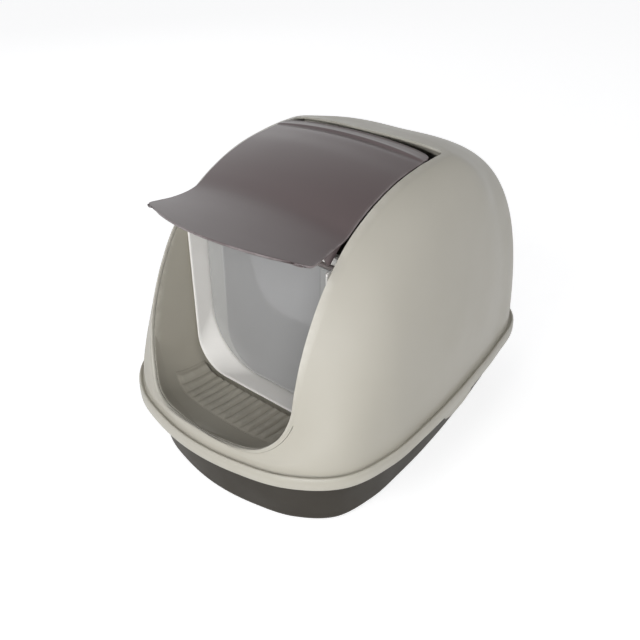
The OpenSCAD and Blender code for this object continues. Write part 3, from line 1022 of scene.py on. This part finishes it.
@dataclass(frozen=True)
class Door:
    """White door frame and the clear flap that hangs in it."""

    half: float = 108.0
    sill_z: float = 99.5
    front_round: float = 44.0
    back_round: float = 78.0
    front_y: float = -131.4
    depth: float = 34.0
    hinge_z: float = 300.0
    flap_gap: float = 1.6
    flap_thickness: float = 2.2
    flap_drop: float = 3.5
    flap_in: float = 6.0
    pane_rise: float = 3.0
    pane_ease: float = 2.6
    border: float = 27.0
    border_rise: float = 0.8
    border_blend: float = 1.6
    flap_edge: float = 1.0
    lip_top: float = 306.0
    sleeve_top: float = 309.0

    def rounding(self, y: Array) -> Array:
        """Corner radius of the inner face, which eases from the front value to the back one."""
        share = np.clip((y - self.front_y) / (self.depth - 8), 0, 1)
        return self.front_round + (self.back_round - self.front_round) * share

    def sweep(self, profile: Array, top: float) -> Skin:
        """Carries a closed profile down the right jamb, along the sill and up the left jamb.

        Args:
            profile: Offset outside the inner face, and y.
            top: Height at which both jambs end.

        Returns:
            The skin, with both ends drawn together.
        """
        out, y = profile[None, :, 0], profile[None, :, 1]
        half, z0, r = self.half, self.sill_z, self.rounding(y)
        rise = np.linspace(1, 0, 34)[:-1, None]
        turn = np.linspace(0, math.pi / 2, 33)[:, None]
        flat = np.linspace(1, 0, 18)[1:, None]
        jamb = np.stack(np.broadcast_arrays(half + out, z0 + r + (top - z0 - r) * rise), -1)
        bend = np.stack([half - r + (r + out) * np.cos(turn),
                         z0 + r - (r + out) * np.sin(turn)], -1)
        sill = np.stack(np.broadcast_arrays((half - r) * flat, z0 - out), -1)
        xz = np.concatenate([jamb, bend, sill])
        xz = np.concatenate([xz, xz[-2::-1] * np.array([-1.0, 1.0])])
        grid = np.stack([xz[..., 0], np.broadcast_to(y, xz.shape[:2]), xz[..., 1]], -1)
        ends = [np.broadcast_to(grid[n].mean(0), grid[n].shape)[None] for n in (0, -1)]
        return Skin.of(np.concatenate([ends[0], grid, ends[1]]), False, True).outward()

    def bar(self, half: float, low: Array, high: Array, radius: float) -> Skin:
        """A bar along x with a rounded rectangular section and pulled-in ends.

        Args:
            half: Half length.
            low: Lowest y and z.
            high: Highest y and z.
            radius: Rounding of the section.

        Returns:
            The skin.
        """
        t = np.linspace(0, 2 * math.pi, 49)[:-1]
        way = np.stack([np.cos(t), np.sin(t)], -1)
        middle, size = (low + high) / 2, (high - low) / 2
        ring = middle + np.sign(way) * (size - radius) * (np.abs(way) > 1e-6) + way * radius
        x = np.array([-half, -half, -half + 0.6, half - 0.6, half, half])
        share = np.array([0.0, 0.92, 1.0, 1.0, 0.92, 0.0])[:, None, None]
        yz = middle + (ring - middle)[None] * share
        xs = np.broadcast_to(x[:, None, None], yz.shape[:2] + (1,))
        return Skin.of(np.concatenate([xs, yz], -1), False, True).outward()

    def surround(self) -> Skin:
        """Sleeve, header bar and the flange that meets the liner's back edge.

        Returns:
            The skin.
        """
        y0, y1, w = self.front_y, self.front_y + self.depth, 3.2
        along = np.linspace(y1 - 0.8, y0 + 4, 16)
        tip = np.array([(0.0, y0 + 1.8), (0.2, y0 + 0.9), (0.7, y0 + 0.25), (1.4, y0), (2.0, y0),
                        (2.6, y0 + 0.2), (3.0, y0 + 0.7), (w, y0 + 1.5)])
        tail = np.array([(w - 0.3, y1 - 0.2), (w - 0.8, y1), (0.8, y1), (0.3, y1 - 0.2)])
        sleeve = np.concatenate([np.stack([np.zeros_like(along), along], -1), tip,
                                 np.stack([np.full_like(along, w), along[::-1]], -1), tail])
        lip = np.array([(4.2, -124.0), (7.6, -124.0), (7.9, -123.7), (7.9, -121.9), (7.6, -121.6),
                        (3.0, -121.6), (3.0, -123.9)])
        head = self.bar(110.5, np.array([-108.6, 306.2]), np.array([y1, 315.6]), 1.6)
        return self.sweep(sleeve, self.sleeve_top).plus(self.sweep(lip, self.lip_top)).plus(head)

    @staticmethod
    def depth_inside(x: Array, z: Array, half: float, z0: float, r: float) -> Array:
        """Distance inside an upright outline with two round lower corners.

        Args:
            x: Places across.
            z: Heights.
            half: Half width of the outline.
            z0: Height of its lower edge.
            r: Radius of its lower corners.

        Returns:
            Distances, below zero outside.
        """
        dx, dz = np.abs(x) - (half - r), (z0 + r) - z
        corner = r - np.hypot(np.maximum(dx, 0), np.maximum(dz, 0))
        return np.where((dx > 0) & (dz > 0), corner, np.minimum(half - np.abs(x), z - z0))

    def flap(self) -> Skin:
        """Clear panel: each row spans the outline's width, thicker within the border.

        Returns:
            The skin, marked 1 on the border.
        """
        half, z0 = self.half - self.flap_gap, self.sill_z + self.flap_gap
        z1, r = self.hinge_z - self.flap_drop, self.back_round - self.flap_gap
        z = z0 + (z1 - z0) * spread_to_ends(150, 0.006, 4)[:, None]
        under = np.clip(z0 + r - z, 0, r)
        width = half - r + np.sqrt(np.maximum(r * r - under * under, 0))
        u = spread_to_ends(150, 0.006, 4)[None, :] * 2 - 1
        x = u * width
        inside = self.depth_inside(x, z, half, z0, r)
        pane = self.depth_inside(x, z, half - self.border, z0 + self.pane_rise,
                                 r - self.border + self.pane_ease)
        band = ease(0.5 - pane / self.border_blend)
        near = np.minimum(np.minimum(inside, z1 - z), (1 - np.abs(u)) * width)
        thick = (self.flap_thickness + 2 * self.border_rise * band) * half_round(
            near, self.flap_edge)
        y = np.broadcast_to(self.front_y + self.depth - self.flap_in, x.shape)
        grid = np.stack([x, y, np.broadcast_to(z, x.shape)], -1)
        normal = np.broadcast_to(np.array([0.0, -1.0, 0.0]), grid.shape)
        return two_sided(grid, normal, thick, band)

    def build(self) -> list[Made]:
        """Builds the frame and the flap."""
        return [Made(self.surround().build("door_surround"), "hood", ("door_frame",), WHITE),
                Made(self.flap().build("flap_panel"), "door", ("door_flap",), CLEAR)]


@dataclass(frozen=True)
class Visor:
    """The flip-up visor: a curved sheet with a turned-up brim and a finger lip behind."""

    thickness: float = 3.0
    crown: float = 9.0
    half: float = 114.0
    edge_radius: float = 1.0
    edge_share: float = 0.25
    highlight_width: float = 2.0
    edge_highlight: float = 0.8
    cheek_x: float = 112.8
    cheek_wall: float = 2.6
    rows: tuple[tuple[float, ...], ...] = (
        (48, 386.4, 111.3, 0.3, -18, 0.6), (46.5, 387, 111.5, 0.3, -18, 1.6),
        (44, 386.8, 111.7, 0.32, -17, 0.8), (39.5, 386.6, 112, 0.5, -10, 1),
        (35.5, 386.3, 112.3, 0.7, -5, 2.4), (33, 385.4, 112.5, 0.8, -3, -0.4),
        (25, 384.7, 112.6, 1, 0, 0),
        (8, 382.8, 113.2, 1, 0, 0), (-14, 379.8, 114, 1, 0, 0), (-38, 373.8, 114.7, 1, 0, 0),
        (-62, 365.6, 115.3, 1, 0, 0), (-84, 355.2, 115.6, 1, 0, 0), (-101, 345.2, 116, 1, 0.5, 0),
        (-112, 341.2, 116.3, 1, 1.5, 0), (-126, 339.2, 116.8, 1, 4, 0),
        (-142, 338.2, 119, 1, 8, 0), (-157, 338.2, 123.2, 0.95, 15, 0),
        (-168, 338.8, 125.2, 0.9, 21, 0), (-174, 339.4, 122.6, 0.86, 26, 0),
        (-177.4, 339.8, 115, 0.84, 28, 0))
    cheek: tuple[tuple[float, float], ...] = (
        (-129, 318), (-132, 320), (-142, 337.2), (-126, 338.2), (-112, 340.2), (-101, 344.2))

    def top(self, u: Array, s: Array) -> Array:
        """Upper surface: the row table read at u, crowned by one minus s squared.

        Args:
            u: Place along the rows, from the back lip to the brim.
            s: Place across, from -1 to 1.

        Returns:
            Points.
        """
        row = spline(np.array(self.rows, dtype=float), u, Ends.ODD)
        m = np.clip(1 - s * s, 0, 1)
        bow = row[..., 4]
        x = s * row[..., 2]
        y = row[..., 0] - bow * np.where(bow < 0, m ** 0.45, m)
        z = row[..., 1] + self.crown * row[..., 3] * m + row[..., 5] * m ** 0.6
        return np.stack([x, y, z], -1)

    def sheet(self) -> Skin:
        """The visor as a sheet with a blunt, rounded edge all round.

        Its middle is the upper surface moved half the thickness down its normal. Each
        point's x is held within its row's half width, which keeps it clear of the well.

        Returns:
            The skin, marked along the brim for a painted highlight.
        """
        last = len(self.rows) - 1
        u = np.concatenate([np.linspace(0, 0.6, 6)[:-1], np.linspace(0.6, last - 0.5, 120)[:-1],
                            last - 0.5 * np.cos(np.linspace(0, math.pi / 2, 9))])
        s = spread_to_ends(90, 0.007, 6) * 2 - 1
        u, s = np.meshgrid(u, s, indexing="ij")
        upper = self.top(u, s)
        normal = grid_normals(upper)
        normal = normal * np.sign(normal[..., 2:3] + 1e-9)
        steps = np.linalg.norm(np.diff(upper, axis=0), axis=-1)
        run = np.concatenate([np.zeros((1, steps.shape[1])), np.cumsum(steps, 0)])
        near_end = np.minimum(run, run[-1:] - run)
        near_side = (1 - np.abs(s)) * self.half
        near = np.minimum(near_end, near_side)
        rounding = self.edge_share + (1 - self.edge_share) * half_round(near, self.edge_radius)
        thick = self.thickness * rounding * (near > 1e-6)
        middle = upper - normal * self.thickness / 2
        # The mark fades in from every edge over the highlight width: a painted highlight on the
        # blunt edge.
        marks = np.clip(1 - near / self.highlight_width, 0, 1) * self.edge_highlight
        skin = two_sided(middle, normal, thick, marks)
        widest = spline(np.array(self.rows, dtype=float), u, Ends.ODD)[..., 2].reshape(-1)
        widest = np.concatenate([widest, widest])
        skin.points[:, 0] = np.clip(skin.points[:, 0], -widest, widest)
        return skin

    def cheeks(self) -> Skin:
        """Small upright plates under the brim's corners, one on each side.

        Each is a ring of its outline drawn in towards its middle on both faces.

        Returns:
            The skin.
        """
        yz = np.array(self.cheek, dtype=float)
        middle = yz.mean(0)
        share = np.array([0.0, 0.9, 1.0, 1.0, 0.9, 0.0])[:, None, None]
        ring = middle + (yz - middle)[None] * share
        w = self.cheek_wall
        x = np.array([0.0, 0.0, 0.5, w - 0.5, w, w])
        skins = []
        for side in (-1.0, 1.0):
            xs = np.broadcast_to((side * (self.cheek_x - x))[:, None, None], ring.shape[:2] + (1,))
            skins.append(Skin.of(np.concatenate([xs, ring], -1), False, True).outward())
        return skins[0].plus(skins[1])

    def build(self) -> list[Made]:
        """Builds the visor."""
        skin = self.sheet().plus(self.cheeks())
        return [Made(skin.build("visor_sheet"), "visor", ("visor",), VISOR)]


@dataclass(frozen=True)
class KeptNodes:
    """CAD nodes whose shape is right, and the finish each one takes."""

    finishes: tuple[tuple[str, MouldedPlastic | DrawnWire], ...] = (
        # The grip well takes the dark brown that paints the shade in its recess.
        ("grip_well", WELL_SHADE), ("door_pin_rod", PIN), ("visor_hinge", VISOR), ("visor_pins", PIN),
        ("latch_brackets", HOOD), ("latch_left", HOOD), ("latch_right", HOOD),
        ("latch_pins", STEEL))

    def dress(self, library: "Library") -> None:
        """Gives each kept node its material.

        Args:
            library: The shared materials.
        """
        for name, finish in self.finishes:
            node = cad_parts[name]
            node.data.materials.clear()
            node.data.materials.append(library.get(finish))
            LOG.info("kept %s with %s", name, finish.name)


class Library:
    """One material for each finish, made when first asked for."""

    def __init__(self) -> None:
        """Starts empty."""
        self.made: dict[str, bpy.types.Material] = {}

    def get(self, finish: MouldedPlastic | ClearPlastic | DrawnWire) -> bpy.types.Material:
        """Returns the finish's material."""
        if finish.name not in self.made:
            self.made[finish.name] = finish.material()
        return self.made[finish.name]


# Studio


def seen_rays(tree: bpy.types.NodeTree) -> bpy.types.NodeSocket:
    """One for rays from the camera, off gloss or through clear parts, and zero for the rest.

    Args:
        tree: The node tree to add to.

    Returns:
        The Value output.
    """
    path = tree.nodes.new("ShaderNodeLightPath")
    value = path.outputs["Is Camera Ray"]
    for ray in ("Is Glossy Ray", "Is Transmission Ray"):
        either = tree.nodes.new("ShaderNodeMath")
        either.operation = "MAXIMUM"
        tree.links.new(value, either.inputs[0])
        tree.links.new(path.outputs[ray], either.inputs[1])
        value = either.outputs[0]
    return value


@dataclass(frozen=True)
class Lamp:
    """A soft square lamp aimed at the box."""

    name: str
    azimuth: float
    elevation: float
    distance: float
    size: float
    power: float


@dataclass(frozen=True)
class Studio:
    """Camera, lamps, world and floor."""

    azimuth: float = 40.3
    elevation: float = 31.5
    distance: float = 1.0164
    target: tuple[float, float, float] = (-0.0102, -0.036, 0.1437)
    lens: float = 41.97
    floor_radius: float = 30.0
    floor_glow: float = 0.72
    fill: tuple[float, float] = (0.9, 0.04)
    seen: tuple[float, float] = (1.0, 0.3)
    lamps: tuple[Lamp, ...] = (
        Lamp("key", 35.0, 9.0, 2.6, 1.3, 36.0),
        Lamp("front", 2.0, 33.0, 2.4, 0.9, 13.0),
        Lamp("left", -115.0, 36.0, 2.5, 2.2, 5.0))

    @staticmethod
    def back_way(azimuth: float, elevation: float) -> Vector:
        """Unit vector from the box towards a place at an azimuth and elevation in degrees."""
        a, e = math.radians(azimuth), math.radians(elevation)
        return Vector((math.sin(a) * math.cos(e), -math.cos(a) * math.cos(e), math.sin(e)))

    def camera(self) -> None:
        """Makes the camera at the photograph's place and angle."""
        data = bpy.data.cameras.new("camera")
        data.sensor_width, data.lens = 36.0, self.lens
        data.clip_start, data.clip_end = 0.05, 100.0
        camera = bpy.data.objects.new("camera", data)
        bpy.context.scene.collection.objects.link(camera)
        way = self.back_way(self.azimuth, self.elevation)
        camera.location = Vector(self.target) + way * self.distance
        camera.rotation_euler = way.to_track_quat("Z", "Y").to_euler()
        bpy.context.scene.camera = camera

    def light(self) -> None:
        """Makes the lamps, each facing the box's middle."""
        middle = Vector((0.0, 0.0, 0.2))
        for lamp in self.lamps:
            data = bpy.data.lights.new(lamp.name, "AREA")
            data.shape, data.size, data.energy = "SQUARE", lamp.size, lamp.power
            light = bpy.data.objects.new(lamp.name, data)
            bpy.context.scene.collection.objects.link(light)
            way = self.back_way(lamp.azimuth, lamp.elevation)
            light.location = middle + way * lamp.distance
            light.rotation_euler = way.to_track_quat("Z", "Y").to_euler()

    def world(self) -> None:
        """Pale light that fades overhead; camera and gloss see white that dims overhead."""
        world = bpy.data.worlds.new("world")
        bpy.context.scene.world = world
        world.use_nodes = True
        tree = world.node_tree
        tree.nodes.clear()
        place = tree.nodes.new("ShaderNodeTexCoord")
        split = tree.nodes.new("ShaderNodeSeparateXYZ")
        tree.links.new(place.outputs["Generated"], split.inputs[0])
        shades = []
        for colour, low, high, near, far in (((0.96, 0.97, 1.0, 1), 0.0, 1.0, *self.fill),
                                             ((1, 1, 1, 1), 0.38, 0.92, *self.seen)):
            fade = tree.nodes.new("ShaderNodeMapRange")
            for key, value in (("From Min", low), ("From Max", high),
                               ("To Min", near), ("To Max", far)):
                fade.inputs[key].default_value = value
            tree.links.new(split.outputs["Z"], fade.inputs["Value"])
            shade = tree.nodes.new("ShaderNodeBackground")
            shade.inputs["Color"].default_value = colour
            tree.links.new(fade.outputs["Result"], shade.inputs["Strength"])
            shades.append(shade)
        mix = tree.nodes.new("ShaderNodeMixShader")
        out = tree.nodes.new("ShaderNodeOutputWorld")
        tree.links.new(seen_rays(tree), mix.inputs[0])
        tree.links.new(shades[0].outputs[0], mix.inputs[1])
        tree.links.new(shades[1].outputs[0], mix.inputs[2])
        tree.links.new(mix.outputs[0], out.inputs["Surface"])

    def floor(self) -> None:
        """A pale floor disc that keeps the box's shadow and reads as white to the camera."""
        turn = np.linspace(0, 2 * math.pi, 97)[:-1]
        ring = np.stack([np.cos(turn), np.sin(turn), np.zeros_like(turn)], -1) * self.floor_radius
        mesh = bpy.data.meshes.new("floor")
        mesh.from_pydata([tuple(p) for p in ring.tolist()], [], [list(range(len(ring)))])
        floor = bpy.data.objects.new("floor", mesh)
        bpy.context.scene.collection.objects.link(floor)
        nodes, shader = fresh_material("floor_paper")
        shader.inputs["Roughness"].default_value = 0.9
        shader.inputs["Specular IOR Level"].default_value = 0.1
        speck = nodes.ramp(nodes.noise(30.0, 3.0), 0.3, 0.7, 0.0, 1.0)
        nodes.join(nodes.mix(speck, (0.64, 0.64, 0.64, 1), (0.66, 0.66, 0.66, 1)),
                   shader.inputs["Base Color"])
        glow = nodes.add("ShaderNodeEmission")
        glow.inputs["Strength"].default_value = self.floor_glow
        add = nodes.add("ShaderNodeAddShader")
        mix = nodes.add("ShaderNodeMixShader")
        out = nodes.material.node_tree.nodes["Material Output"]
        nodes.join(shader.outputs[0], add.inputs[0])
        nodes.join(glow.outputs[0], add.inputs[1])
        nodes.join(seen_rays(nodes.material.node_tree), mix.inputs[0])
        nodes.join(shader.outputs[0], mix.inputs[1])
        nodes.join(add.outputs[0], mix.inputs[2])
        nodes.join(mix.outputs[0], out.inputs["Surface"])
        mesh.materials.append(nodes.material)

    def build(self) -> None:
        """Builds the whole studio."""
        bpy.context.scene.view_settings.view_transform = "Standard"
        self.camera()
        self.light()
        self.world()
        self.floor()


# The whole box


def settle(made: Made, library: Library) -> None:
    """Dresses a piece and ties it to the frame.

    Args:
        made: The piece with its body, nodes and finish.
        library: The shared materials.
    """
    made.piece.data.materials.append(library.get(made.finish))
    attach(made.piece, made.body)
    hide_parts(*made.nodes)
    LOG.info("built %s: %d faces", made.piece.name, len(made.piece.data.polygons))


def main() -> None:
    """Builds each sub-assembly in order, then the studio."""
    logging.basicConfig(level=logging.INFO, format="%(name)s: %(message)s")
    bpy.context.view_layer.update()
    library = Library()
    Studio().build()
    for assembly in (Tray(), Hood(), Porch(), Door(), Visor()):
        for made in assembly.build():
            settle(made, library)
    KeptNodes().dress(library)


if __name__ == "__main__":
    main()
